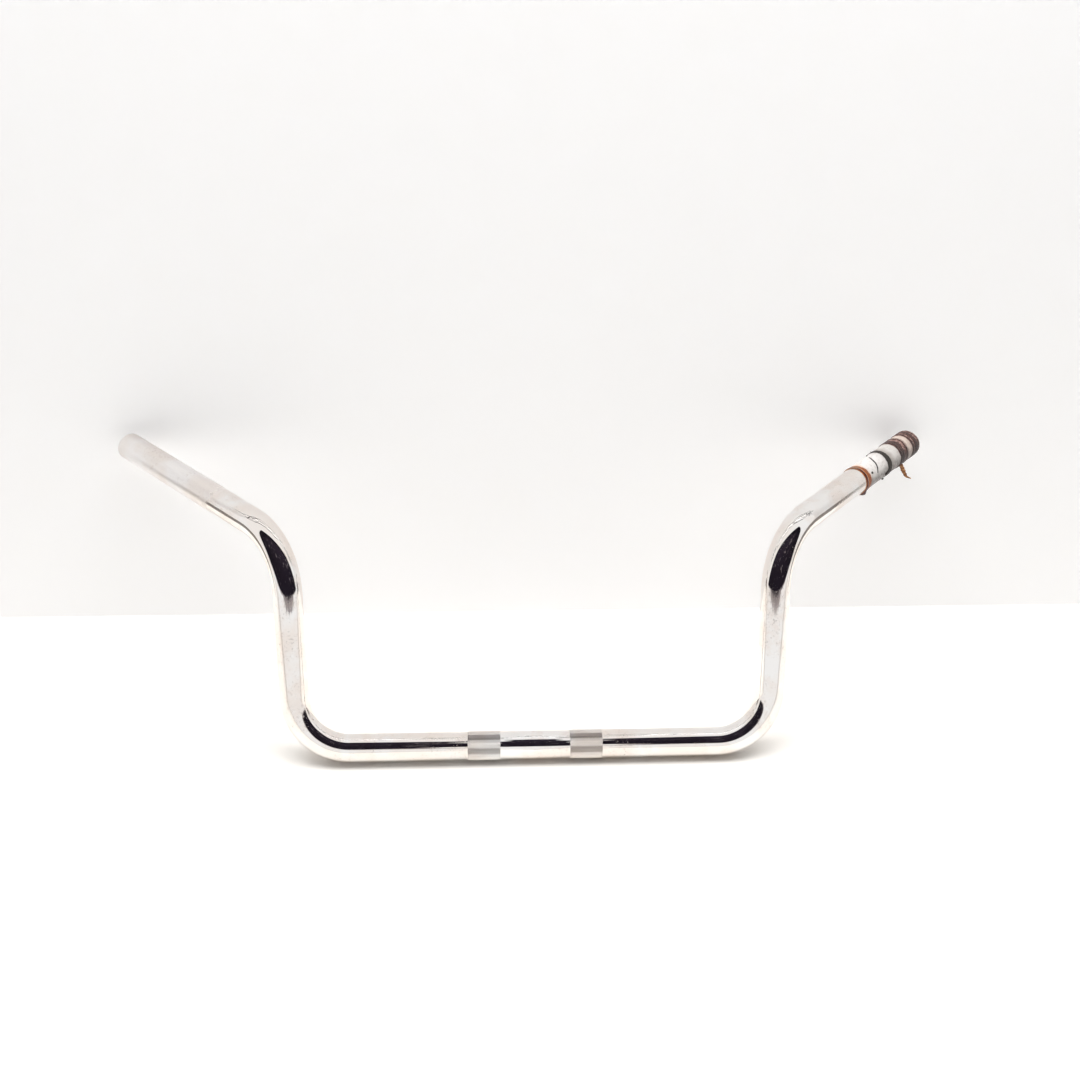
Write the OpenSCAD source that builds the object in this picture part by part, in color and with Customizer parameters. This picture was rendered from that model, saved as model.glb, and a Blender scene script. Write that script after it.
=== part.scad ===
// Motorcycle handlebar: one length of chrome plated steel tube, bent four times,
// with two rolled knurls where the risers clamp it and the dried remains of a
// grip on the clutch end.
//
// Millimetres. The origin is on the tube axis at the middle of the clamped span.
// X runs across the motorcycle, towards the clutch end when seen from its front,
// Y runs back towards the rider and Z is up.

/* [Tube] */
// Outside diameter of the tube (25.4 is the one inch standard)
tube_d = 25.4; // [22:0.1:32]
// Wall thickness of the tube
wall = 2.5; // [1.5:0.1:4]
// Chamfer on the outer edge of the open ends
end_chamfer = 0.8; // [0.2:0.1:1.2]

/* [Shape] */
// Length of the straight clamped span between the two lower bends
span = 320; // [200:1:420]
// Radius of the lower bends on the tube axis
low_bend_r = 47; // [36:1:70]
// Angle through which the lower bends turn the tube upwards
low_bend_angle = 88; // [70:1:95]
// Straight length of each upright between its bends
upright = 92; // [40:1:200]
// Angle by which the uprights lean back towards the rider
lean = 22; // [0:1:40]
// Radius of the upper bends on the tube axis
high_bend_r = 63; // [40:1:90]
// Angle by which the grips are swept back from straight out
grip_sweep = 45; // [20:1:70]
// Angle by which the grips rise towards their ends
grip_rise = 2.5; // [-15:0.5:15]
// Straight length of each grip end
grip = 191; // [150:1:260]

/* [Knurled bands] */
// Distance between the middles of the two knurled bands
knurl_spacing = 88.9; // [70:0.1:120]
// Width of each knurled band
knurl_w = 28.2; // [20:0.1:40]
// Height of the diamond crests above the bottoms of the rolled grooves
knurl_depth = 0.45; // [0.2:0.05:0.7]
// Height of the crests above the plain tube
knurl_proud = 0.05; // [0:0.05:0.1]
// Diamonds round the tube
knurl_count = 38; // [24:1:44]
// Length of one diamond along the tube
knurl_pitch = 3; // [2.4:0.1:4]

/* [Grip remains] */
// Thickness of the dried glue film
film_t = 0.25; // [0.1:0.05:0.5]
// Distance from the end of the tube to the inner edge of the film
film_end = 101; // [99:0.5:103]
// Distance from the end of the tube to the outer edge of the film
film_start = 1.6; // [1:0.1:3]
// Height of the brown glue rings above the film
ring_t = 0.6; // [0.3:0.1:1]
// Height of the dark rubber ring above the film
rubber_t = 0.5; // [0.3:0.1:1]
// Height of the hardened glue collar above the film
collar_t = 0.9; // [0.6:0.1:1.5]
// Length of the torn strip that hangs from the brown rings
strip_len = 17; // [10:0.5:24]
// Width of the torn strip
strip_w = 3.4; // [2:0.1:5]
// Thickness of the torn strip
strip_t = 0.7; // [0.4:0.1:1.2]

/* [Hidden] */

$fn = 120;
r_out = tube_d / 2;
r_in = r_out - wall;
// The wall thins by this much at each skin as it goes into a bend, over a short
// taper at the ends of the straight lengths
thin = 0.02;
lap = 1.5;
lap_taper = 0.12;

// Grip direction, seen from the plane of the uprights
g_x = cos(grip_rise) * cos(grip_sweep);
g_y = cos(grip_rise) * sin(grip_sweep);
g_z = sin(grip_rise);
p_x = g_x;
p_y = g_y * cos(lean) - g_z * sin(lean);
p_z = g_y * sin(lean) + g_z * cos(lean);
// The upper bend: how far it turns, and which way it faces round the upright
high_bend_angle = acos(p_x * cos(low_bend_angle) + p_z * sin(low_bend_angle));
high_bend_turn = atan2(-p_y, p_z * cos(low_bend_angle) - p_x * sin(low_bend_angle));

// How far the grip frame is turned from having its X axis upwards
m_up = cos(high_bend_turn) * cos(lean) * cos(low_bend_angle)
    + sin(high_bend_turn) * sin(lean);
up_turn = atan2(
    -sin(high_bend_turn) * cos(lean) * cos(low_bend_angle) + cos(high_bend_turn) * sin(lean),
    cos(high_bend_angle) * m_up - sin(high_bend_angle) * cos(lean) * sin(low_bend_angle));

// Knurl: the crests and groove bottoms, and the pocket the band fills
crest_r = r_out + knurl_proud;
valley_r = crest_r - knurl_depth;
bury = 0.3;
pocket_r = valley_r - 0.3;
core_r = pocket_r - 0.4;
knurl_rows = 2 * round((knurl_w + 2 * bury) / knurl_pitch) - 1;
knurl_cols = 2 * knurl_count;

// Seats of the remains: on the tube itself, and on the film
seat = 0.03;
on_tube = r_out + seat;
on_film = r_out + film_t + seat;
// The middle of the torn strip where it leaves its ring
strip_r = on_film + 0.2 + strip_t / 2;

steel = [0.80, 0.80, 0.82];
film_c = [0.78, 0.77, 0.74];
brown_c = [0.33, 0.19, 0.15];
black_c = [0.17, 0.16, 0.15];
amber_c = [0.55, 0.30, 0.16];

// Places its children at the end of a bend that starts here along +Z and
// turns towards +X
module after_bend(r, a) {
    translate([r, 0, 0]) rotate([0, a, 0]) translate([-r, 0, 0]) children();
}

// One bend of tube, from +Z at its start towards +X
module bend(r, a) {
    translate([r, 0, 0]) rotate([90, 0, 0])
        rotate_extrude(angle = a, start = 180 - a) translate([r, 0]) difference() {
            circle(r_out - thin);
            circle(r_in + thin);
        }
}

// Places its children where the lower bend of the clutch side starts
module low_start() {
    rotate([-lean, 0, 0]) rotate([0, 90, 0]) rotate([0, 0, 180])
        translate([0, 0, span / 2]) children();
}

// Places its children where the upright starts
module upright_start() {
    low_start() after_bend(low_bend_r, low_bend_angle) children();
}

// Places its children where the upper bend starts, facing its turn
module high_start() {
    upright_start() translate([0, 0, upright]) rotate([0, 0, high_bend_turn]) children();
}

// Places its children where the straight grip starts
module grip_start() {
    high_start() after_bend(high_bend_r, high_bend_angle) children();
}

// One half of the bar, beyond the straight span
module half_bar() {
    low_start() bend(low_bend_r, low_bend_angle);
    upright_start() rotate_extrude() polygon([
        [r_in + lap_taper, -lap], [r_out - lap_taper, -lap], [r_out, 0], [r_out, upright],
        [r_out - lap_taper, upright + lap], [r_in + lap_taper, upright + lap],
        [r_in, upright], [r_in, 0]]);
    high_start() bend(high_bend_r, high_bend_angle);
    grip_start() rotate_extrude() polygon([
        [r_in + lap_taper, -lap], [r_out - lap_taper, -lap], [r_out, 0],
        [r_out, grip - end_chamfer], [r_out - end_chamfer, grip], [r_in, grip], [r_in, 0]]);
}

// Distance along the band, and radius, of lattice point (i, k)
function kx(i) = (knurl_w + 2 * bury) * (i / knurl_rows - 0.5);
function kr(i, k) = (i + k) % 2 == 0 ? valley_r : crest_r;
function ring_pt(x, r, a) = [x, r * cos(a), r * sin(a)];

// Profile of the shallow pocket that a knurled band fills
function pocket(x) = [[r_out, x - knurl_w / 2], [pocket_r, x - knurl_w / 2],
                      [pocket_r, x + knurl_w / 2], [r_out, x + knurl_w / 2]];

// A rolled diamond knurl: four small faces to each diamond
module knurl() {
    lattice = [for (i = [0 : knurl_rows]) for (k = [0 : knurl_cols - 1])
        ring_pt(kx(i), (i == 0 || i == knurl_rows) ? valley_r : kr(i, k),
                360 * k / knurl_cols)];
    n = knurl_cols;
    inner = [for (i = [0, knurl_rows]) for (k = [0 : n - 1])
        ring_pt(kx(i), core_r, 360 * k / n)];
    base = len(lattice);
    // each crest meets the four groove crossings round it
    diamonds = [for (i = [0 : knurl_rows - 1]) for (k = [0 : n - 1])
        let (p = i * n + k, q = i * n + (k + 1) % n,
             r = (i + 1) * n + k, s = (i + 1) * n + (k + 1) % n)
        each ((i + k) % 2 == 0
            ? [[p, s, q], [p, r, s]]
            : [[p, r, q], [q, r, s]])];
    bore = [for (k = [0 : n - 1]) let (m = (k + 1) % n)
        each [[base + k, base + n + m, base + n + k], [base + k, base + m, base + n + m]]];
    ends = [for (k = [0 : n - 1]) let (m = (k + 1) % n, t = knurl_rows * n)
        each [[k, base + m, base + k], [k, m, base + m],
              [t + k, base + n + m, t + m], [t + k, base + n + k, base + n + m]]];
    polyhedron(concat(lattice, inner), concat(diamonds, bore, ends));
}

// The bar itself: bent tube with both knurled bands rolled into it
module handlebar() {
    color(steel) {
        rotate([0, 90, 0]) rotate_extrude() polygon(concat(
            [[r_in + lap_taper, span / 2 + lap], [r_in, span / 2], [r_in, -span / 2],
             [r_in + lap_taper, -span / 2 - lap], [r_out - lap_taper, -span / 2 - lap],
             [r_out, -span / 2]],
            pocket(-knurl_spacing / 2), pocket(knurl_spacing / 2),
            [[r_out, span / 2], [r_out - lap_taper, span / 2 + lap]]));
        half_bar();
        mirror([1, 0, 0]) half_bar();
        for (s = [-1, 1]) translate([s * knurl_spacing / 2, 0, 0]) knurl();
    }
}

// Places its children at the open end of the clutch grip, with +Z running
// back along the tube and +X pointing up
module clutch_end() {
    grip_start() translate([0, 0, grip]) rotate([0, 0, up_turn]) rotate([180, 0, 0])
        children();
}

// A point of the remains: s from the open end, r from the axis, a round the
// tube from its top towards the front
function skin_pt(s, r, a) = [r * cos(a), -r * sin(a), s];
// A smooth lump of height 1 and half width w round angle c
function lump(a, c, w) = exp(-pow(((a - c + 540) % 360 - 180) / w, 2));
function ripple(a, p) = 0.5 * sin(3 * a + p) + 0.35 * sin(7 * a + 2 * p) + 0.2 * sin(13 * a - p);

// Closed ring through profiles of [s, r], one for each step round the tube
module ragged_ring(profiles) {
    n = len(profiles);
    m = len(profiles[0]);
    pts = [for (i = [0 : n - 1]) for (q = profiles[i]) skin_pt(q[0], q[1], 360 * i / n)];
    faces = [for (i = [0 : n - 1]) for (j = [0 : m - 1])
        let (i2 = (i + 1) % n, j2 = (j + 1) % m)
        each [[i * m + j, i2 * m + j2, i2 * m + j], [i * m + j, i * m + j2, i2 * m + j2]]];
    polyhedron(pts, faces);
}

// Open strip through sections of four points each
module ribbon(sections) {
    n = len(sections);
    pts = [for (q = sections) each q];
    sides = [for (i = [0 : n - 2]) for (j = [0 : 3]) let (k = (j + 1) % 4)
        each [[4 * i + j, 4 * i + 4 + k, 4 * i + 4 + j], [4 * i + j, 4 * i + k, 4 * i + 4 + k]]];
    t = 4 * n - 4;
    polyhedron(pts, concat(sides, [[0, 2, 1], [0, 3, 2], [t, t + 1, t + 2], [t, t + 2, t + 3]]));
}

steps = 60;

// Dried glue film under the lost grip
module glue_film() {
    color(film_c) clutch_end() rotate_extrude() polygon([
        [r_out, film_start], [r_out + film_t, film_start + 0.4],
        [r_out + film_t, film_end], [r_out, film_end]]);
}

// One ridged glue ring: ridges are [s, height] for the highest of them 1
module glue_ring(ridges, seed) {
    last = len(ridges) - 1;
    ragged_ring([for (i = [0 : steps - 1]) let (a = 360 * i / steps) concat(
        [[ridges[last][0] + 0.9 * ripple(a, seed), on_film]],
        [[ridges[0][0] + 0.7 * ripple(a, seed + 70), on_film]],
        [for (j = [0 : last]) let (q = ridges[j])
            [q[0] + (j == 0 ? 0.7 * ripple(a, seed + 70) : j == last ? 0.9 * ripple(a, seed)
                : 0.35 * ripple(a, seed + 40 * j)),
             on_film + ring_t * (0.08 + q[1] * (0.8 + 0.25 * ripple(a, seed + 90 * j)))]])]);
}

// Brown glue ring at the open end
module outer_glue_ring() {
    color(brown_c) clutch_end() glue_ring(
        [[2.8, 0], [3.9, 0.7], [5.4, 0.3], [7.6, 0.9], [10, 0.3], [12.2, 0.4], [14, 1],
         [16, 0]], 10);
}

// Brown glue ring further in, with the torn strip that hangs from it
module inner_glue_ring() {
    color(brown_c) clutch_end() {
        glue_ring([[25, 0], [26.4, 0.9], [28, 0.25], [31, 0.3], [33.6, 0.9], [36.2, 0.7],
                   [38.4, 1], [40.2, 0]], 130);
        ribbon([for (i = [0 : 9]) let (
            t = i / 9,
            // hanging from the front of the ring and curling outwards, narrow and
            // hooked at its end
            x = strip_r * cos(112) - 0.85 * strip_len * t,
            y = -strip_r * sin(112) - 0.48 * strip_len * pow(t, 1.3) - (i > 7 ? i - 7 : 0),
            z = 37 - 2 * t - (i > 7 ? 1.2 * (i - 7) : 0),
            w = strip_w / 2 * (i > 7 ? 0.45 : 0.75 + 0.25 * sin(200 * t + 30)),
            turn = 5 + 60 * t,
            wx = i > 7 ? 0.5 * w : 0.15 * w, wy = w * sin(turn), wz = w * cos(turn),
            h = strip_t / 2, hy = h * cos(turn), hz = -h * sin(turn))
            [[x - wx, y - wy + hy, z - wz + hz], [x - wx, y - wy - hy, z - wz - hz],
             [x + wx, y + wy - hy, z + wz - hz], [x + wx, y + wy + hy, z + wz + hz]]]);
    }
}

// Band of dark rubber left on the film
module rubber_ring() {
    color(black_c) clutch_end() ragged_ring([for (i = [0 : steps - 1]) let (
        a = 360 * i / steps,
        wide = 1.1 * lump(a, 65, 40),
        s0 = 58.6 - wide + 0.5 * ripple(a, 200),
        s1 = 63.6 + wide + 3.4 * lump(a, 100, 9) + 0.5 * ripple(a, 300),
        h = on_film + rubber_t * (0.85 + 0.3 * ripple(a, 20) + 0.7 * lump(a, 100, 10)))
        [[s1, on_film], [s0, on_film], [s0 + 0.1, on_film + 0.08], [s0 + 0.8, h],
         [(s0 + s1) / 2, h - 0.08], [s1 - 0.7, h], [s1 - 0.1, on_film + 0.08]]]);
}

// Thin curved sliver of the same rubber
module rubber_sliver() {
    color(black_c) clutch_end() ribbon([for (i = [0 : 14]) let (
        t = i / 14,
        a = -12 + 80 * t,
        s = 76.6 + 8 * t + 0.5 * sin(400 * t),
        w = 0.25 + 0.65 * sin(180 * min(1, t * 0.92 + 0.05)),
        h = on_film + rubber_t * 0.6)
        [skin_pt(s - w, on_film, a), skin_pt(s + w, on_film, a),
         skin_pt(s + 0.6 * w, h, a), skin_pt(s - 0.6 * w, h, a)]]);
}

// Hardened glue where the grip's inner edge sat, with a thin fringe over the
// film and a torn flap underneath
module glue_collar() {
    step_s = film_end + 0.2;
    color(amber_c) clutch_end() ragged_ring([for (i = [0 : steps - 1]) let (
        a = 360 * i / steps,
        drift = 1.3 * (1 - cos(a - 25)),
        torn = lump(a, 132, 13),
        s0 = step_s - 1.9 - 2.6 * lump(a, 65, 50) + 0.5 * ripple(a, 50),
        s1 = step_s + 4.6 + drift + 1.2 * torn + 0.5 * ripple(a, 170),
        h = collar_t * (0.85 + 0.25 * ripple(a, 10) + 1.9 * torn))
        [[s1, on_tube], [step_s, on_tube], [step_s, on_film], [s0, on_film],
         [s0 + 0.2, on_film + 0.12 + torn], [step_s - 0.2, on_film + 0.35 + 1.3 * torn],
         [step_s + 0.9, on_film + h], [step_s + 3 + drift, on_film + 0.85 * h],
         [s1 - 0.3, on_tube + 0.35 + torn]]]);
}

handlebar();
glue_film();
outer_glue_ring();
inner_glue_ring();
rubber_ring();
rubber_sliver();
glue_collar();
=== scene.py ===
# Used chrome motorcycle handlebar, standing as in its photograph: the clamped
# span on a pale floor and both grip ends against a white backdrop.
import math
import bpy
import numpy as np
from mathutils import Matrix, Vector, noise as noise_tools


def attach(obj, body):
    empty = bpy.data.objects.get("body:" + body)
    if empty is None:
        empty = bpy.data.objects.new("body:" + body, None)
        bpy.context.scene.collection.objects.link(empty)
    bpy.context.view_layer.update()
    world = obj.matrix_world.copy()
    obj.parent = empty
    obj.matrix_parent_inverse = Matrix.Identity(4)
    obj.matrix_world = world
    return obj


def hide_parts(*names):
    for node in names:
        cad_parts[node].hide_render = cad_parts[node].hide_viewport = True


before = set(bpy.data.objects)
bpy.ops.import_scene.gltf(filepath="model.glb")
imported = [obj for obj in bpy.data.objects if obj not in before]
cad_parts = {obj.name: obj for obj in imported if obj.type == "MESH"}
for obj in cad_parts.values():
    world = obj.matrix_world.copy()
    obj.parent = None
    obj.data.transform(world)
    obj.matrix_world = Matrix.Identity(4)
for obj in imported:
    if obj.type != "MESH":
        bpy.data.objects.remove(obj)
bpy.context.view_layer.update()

# Sizes of the tube, in metres: its section, then its legs from the middle outwards.
TUBE_R = 0.0127
WALL = 0.0025
HALF_SPAN = 0.160
LOW_R = 0.047
LOW_ANGLE = math.radians(88)
UPRIGHT = 0.092
LEAN = math.radians(22)
HIGH_R = 0.063
SWEEP = math.radians(45)
RISE = math.radians(2.5)
GRIP = 0.191
CHAMFER = 0.0008
SIDES = 152
# The two knurled bands: their distance from the middle, half width, and diamonds round the tube.
KNURL_MID = 0.04445
KNURL_HALF = 0.0141
KNURL_COUNT = 38
KNURL_PITCH = 2 * KNURL_HALF / 9.5
KNURL_DEPTH = 0.00042
KNURL_STEP = 0.0001
# How near a point has to be to count as lying on a given radius or edge.
NEAR = 1e-5

# Sizes of the glue remains, in mm: the tube's radius, the film, and the seat of what lies on it.
SEAT = 12.7
FILM = 0.25
ON_FILM = SEAT + FILM + 0.02
# The collar: the line that both its rims are measured from, and how far in it lies on the film.
COLLAR_START = 101.2
FILM_EDGE = 101.3

# The stage, in metres: the floor, the backdrop that leans back from its foot, half the size of
# both, and the dark mouth that the chrome mirrors. Then its light.
FLOOR_Z = -0.01272
WALL_Y = 0.2475
WALL_LEAN = 0.08
WALL_FOOT = WALL_Y - 0.2 * WALL_LEAN
STAGE = 6
MOUTH_LEFT, MOUTH_WIDTH = -2.2, 4.7
WORLD_STRENGTH = 1.0
SOFTBOX_PLACE, SOFTBOX_SIZE, SOFTBOX_WATTS = (0, 0.02, 1.8), (2.4, 0.7), 30

# The camera: where it stands, the directions of its own axes, and its lens in mm.
CAMERA_PLACE = (-0.052545, -0.812401, 0.67764)
CAMERA_RIGHT = (0.998371, -0.05329, 0.020369)
CAMERA_UP = (0.009068, 0.500723, 0.86556)
CAMERA_BACK = (-0.056325, -0.863966, 0.500391)
CAMERA_LENS, CAMERA_SENSOR = 39.71, 36


# The line of the tube.
def lean_back(v):
    """Turns a point of the upright, untilted bar back by the lean."""
    return Matrix.Rotation(-LEAN, 3, "X") @ Vector(v)


class Line:
    """The clutch half of the tube's centre line, leg by leg."""

    def __init__(self):
        low_end_dir = Vector((math.cos(LOW_ANGLE), 0, math.sin(LOW_ANGLE)))
        p0 = Vector((HALF_SPAN, 0, 0))
        low_centre = p0 + Vector((0, 0, LOW_R))
        p1 = p0 + Vector((LOW_R * math.sin(LOW_ANGLE), 0, LOW_R * (1 - math.cos(LOW_ANGLE))))
        p2 = p1 + low_end_dir * UPRIGHT
        grip_dir = Vector((math.cos(RISE) * math.cos(SWEEP), math.cos(RISE) * math.sin(SWEEP),
                           math.sin(RISE)))
        grip_dir = Matrix.Rotation(LEAN, 3, "X") @ grip_dir
        high_angle = low_end_dir.angle(grip_dir)
        high_axis = low_end_dir.cross(grip_dir).normalized()
        to_centre = high_axis.cross(low_end_dir)
        high_centre = p2 + to_centre * HIGH_R
        p3 = p2 + HIGH_R * (low_end_dir * math.sin(high_angle)
                            + to_centre * (1 - math.cos(high_angle)))
        t = lean_back
        self.legs = [
            ("straight", t((0, 0, 0)), t((1, 0, 0)), HALF_SPAN),
            ("bend", t(low_centre), t((0, -1, 0)), LOW_ANGLE, LOW_R, t(p0), t((1, 0, 0))),
            ("straight", t(p1), t(low_end_dir), UPRIGHT),
            ("bend", t(high_centre), t(high_axis), high_angle, HIGH_R, t(p2), t(low_end_dir)),
            ("straight", t(p3), t(grip_dir), GRIP),
        ]
        self.lengths = [HALF_SPAN, LOW_R * LOW_ANGLE, UPRIGHT, HIGH_R * high_angle, GRIP]
        self.grip_dir = t(grip_dir)
        self.grip_start = t(p3)

    def samples(self, step=0.0005):
        """Points, directions and up vectors of the whole bar, with the distance from its middle."""
        rows = []
        up = lean_back((0, 0, 1)).copy()
        s = 0.0
        last = Vector((1, 0, 0))
        for leg, length in zip(self.legs, self.lengths):
            n = max(2, int(round(length / step)))
            for i in range(n):
                f = i / n
                if leg[0] == "straight":
                    p, d = leg[1] + leg[2] * (length * f), leg[2]
                else:
                    turn = Matrix.Rotation(leg[3] * f, 3, leg[2])
                    p, d = leg[1] + turn @ (leg[5] - leg[1]), turn @ leg[6]
                up = last.rotation_difference(d) @ up
                last = d
                rows.append((s + length * f, p.copy(), d.copy(), up.copy()))
            s += length
        leg = self.legs[-1]
        rows.append((s, leg[1] + leg[2] * leg[3], leg[2].copy(), up.copy()))
        return rows


line = Line()
GRIP_DIR = line.grip_dir
GRIP_END = line.grip_start + GRIP_DIR * GRIP
GRIP_UP = (Vector((0, 0, 1)) - GRIP_DIR * GRIP_DIR.z).normalized()
GRIP_FRONT = GRIP_DIR.cross(GRIP_UP)


def on_grip(s, r, phi):
    """The point s mm in from the clutch end and r mm from the axis, at the angle phi from the
    top towards the front."""
    out = GRIP_UP * math.cos(phi) + GRIP_FRONT * math.sin(phi)
    return GRIP_END - GRIP_DIR * (s / 1000) + out * (r / 1000)


def grip_place(point):
    """A point near the clutch grip as mm in from the end, towards the front, and up."""
    rel = point - GRIP_END
    return (-rel.dot(GRIP_DIR) * 1000, rel.dot(GRIP_FRONT) * 1000, rel.dot(GRIP_UP) * 1000)


def straight_coordinates(obj):
    """Stores where each point lies on the tube before it is bent, in mm: X from the bar's middle
    towards the clutch end, Y towards the back of the grip (so the front is negative), and Z
    towards the top of the grip."""
    rows = line.samples()
    s = np.array([r[0] for r in rows])
    p = np.array([r[1] for r in rows])
    d = np.array([r[2] for r in rows])
    u = np.array([r[3] for r in rows])
    co = np.zeros(len(obj.data.vertices) * 3)
    obj.data.vertices.foreach_get("co", co)
    co = co.reshape(-1, 3)
    side = np.where(co[:, 0] >= 0, 1.0, -1.0)
    half = co * np.stack([side, np.ones_like(side), np.ones_like(side)], 1)
    found = np.zeros(len(co), int)
    # the nearest sample, first among every fourth one and then among its neighbours
    chunk, skip = 4000, 4
    for i in range(0, len(co), chunk):
        part = half[i:i + chunk]
        dist = ((part[:, None, :] - p[None, ::skip, :]) ** 2).sum(2)
        coarse = dist.argmin(1) * skip
        best = np.full(len(part), np.inf)
        for j in range(-skip, skip + 1):
            k = np.clip(coarse + j, 0, len(p) - 1)
            e = ((part - p[k]) ** 2).sum(1)
            better = e < best
            found[i:i + chunk][better] = k[better]
            best[better] = e[better]
    rel = half - p[found]
    along = s[found] + (rel * d[found]).sum(1)
    out = (rel * u[found]).sum(1)
    across = (rel * np.cross(d[found], u[found])).sum(1)
    # turn the section so that "top" is the top of the grips
    up_end = Vector(u[-1])
    twist = math.atan2(Vector(np.cross(d[-1], u[-1])).dot(GRIP_UP), up_end.dot(GRIP_UP))
    c, q = math.cos(twist), math.sin(twist)
    top = out * c + across * q
    rearward = out * q - across * c
    store(obj, "straight", "FLOAT_VECTOR", np.stack([along * side, rearward, top], 1) * 1000)


# The camera.
def look():
    """The photograph's camera."""
    bpy.ops.object.camera_add(location=CAMERA_PLACE)
    camera = bpy.context.object
    camera.name = "camera"
    axes = Matrix((CAMERA_RIGHT, CAMERA_UP, CAMERA_BACK)).transposed().to_4x4()
    camera.matrix_world = Matrix.Translation(camera.location) @ axes
    camera.data.sensor_width = CAMERA_SENSOR
    camera.data.lens = CAMERA_LENS
    camera.data.clip_start, camera.data.clip_end = 0.01, 50
    bpy.context.scene.camera = camera


# Small helpers.
def deselect():
    """Leaves edit mode and clears the selection."""
    if bpy.context.mode != "OBJECT":
        bpy.ops.object.mode_set(mode="OBJECT")
    bpy.ops.object.select_all(action="DESELECT")


def active(obj):
    """Makes one object the only selected one, and the active one."""
    deselect()
    obj.select_set(True)
    bpy.context.view_layer.objects.active = obj


def apply_place(obj):
    """Writes the object's placing into its mesh."""
    active(obj)
    bpy.ops.object.transform_apply(location=True, rotation=True, scale=True)


def linear(text):
    """An sRGB hex colour as the linear RGBA that the shaders work in."""
    value = [int(text[i:i + 2], 16) / 255 for i in (0, 2, 4)]
    return tuple(c / 12.92 if c <= 0.04045 else ((c + 0.055) / 1.055) ** 2.4
                 for c in value) + (1.0,)


def add(tree, kind, inputs=None, **settings):
    """Adds a node with its settings; an input is a value or another node's output."""
    made = tree.nodes.new("ShaderNode" + kind)
    for name, value in settings.items():
        setattr(made, name, value)
    for name, value in (inputs or {}).items():
        if isinstance(value, bpy.types.NodeSocket):
            tree.links.new(value, made.inputs[name])
        else:
            made.inputs[name].default_value = value
    return made


def start_material(name):
    """A new material that holds a single surface shader."""
    mat = bpy.data.materials.new(name)
    mat.use_nodes = True
    tree = mat.node_tree
    tree.nodes.clear()
    out = tree.nodes.new("ShaderNodeOutputMaterial")
    shader = add(tree, "BsdfPrincipled")
    tree.links.new(shader.outputs[0], out.inputs[0])
    return mat, tree, shader


def dress(obj, mat):
    """Gives the object one material."""
    obj.data.materials.clear()
    obj.data.materials.append(mat)


# The bent tube.
def bent_tube():
    """A ring pushed out along the span and spun round each bend, as the bender leaves the tube."""
    deselect()
    bpy.ops.mesh.primitive_circle_add(vertices=SIDES, radius=TUBE_R, location=(0, 0, 0),
                                      rotation=(0, math.pi / 2, 0))
    tube = bpy.context.object
    tube.name = "handlebar_tube"
    apply_place(tube)
    bpy.ops.object.mode_set(mode="EDIT")
    bpy.ops.mesh.select_all(action="SELECT")

    def push(vector):
        bpy.ops.mesh.extrude_region_move(TRANSFORM_OT_translate={"value": tuple(vector)})

    # plain span, knurled band in rows a quarter diamond apart, plain span
    push((KNURL_MID - KNURL_HALF - KNURL_STEP, 0, 0))
    push((KNURL_STEP, 0, 0))
    rows = int(round(2 * KNURL_HALF / (KNURL_PITCH / 4)))
    for _ in range(rows):
        push((2 * KNURL_HALF / rows, 0, 0))
    push((KNURL_STEP, 0, 0))
    push((HALF_SPAN - KNURL_MID - KNURL_HALF - KNURL_STEP, 0, 0))
    # each bend by the degrees of one step, each straight leg by its number of lengths
    for leg, part in zip(line.legs[1:], (4, 2, 3.5, 6)):
        if leg[0] == "straight":
            for _ in range(part):
                push(leg[2] * (leg[3] / part))
        else:
            bpy.ops.mesh.spin(steps=int(round(math.degrees(leg[3]) / part)), angle=leg[3],
                              center=tuple(leg[1]), axis=tuple(-leg[2]))
    bpy.ops.object.mode_set(mode="OBJECT")
    mirror = tube.modifiers.new("throttle half", "MIRROR")
    mirror.use_axis[0] = True
    mirror.merge_threshold = NEAR
    wall = tube.modifiers.new("wall", "SOLIDIFY")
    wall.thickness = WALL
    wall.offset = -1
    active(tube)
    bpy.ops.object.modifier_apply(modifier="throttle half")
    bpy.ops.object.mode_set(mode="EDIT")
    bpy.ops.mesh.select_all(action="SELECT")
    bpy.ops.mesh.remove_doubles(threshold=1e-6)
    bpy.ops.mesh.normals_make_consistent(inside=False)
    bpy.ops.object.mode_set(mode="OBJECT")
    return tube


def face_outwards(tube):
    """Turns the skin so that every face looks away from the tube's axis."""
    poly = tube.data.polygons[0]
    corners = [tube.data.vertices[i].co for i in poly.vertices]
    centre = sum(corners, Vector()) / len(corners)
    # the first face lies on the straight span, whose axis is the X axis
    if poly.normal.dot(Vector((0, centre.y, centre.z))) < 0:
        active(tube)
        bpy.ops.object.mode_set(mode="EDIT")
        bpy.ops.mesh.select_all(action="SELECT")
        bpy.ops.mesh.flip_normals()
        bpy.ops.object.mode_set(mode="OBJECT")


def knurl_height(x, angle):
    """Height of the rolled diamonds over their grooves, 0 to 1, at x metres into the band."""
    u = x / KNURL_PITCH
    v = angle / (2 * math.pi) * KNURL_COUNT
    a = np.abs((u + v) % 1.0 - 0.5)
    b = np.abs((u - v) % 1.0 - 0.5)
    return 1 - 2 * np.maximum(a, b)


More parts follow.
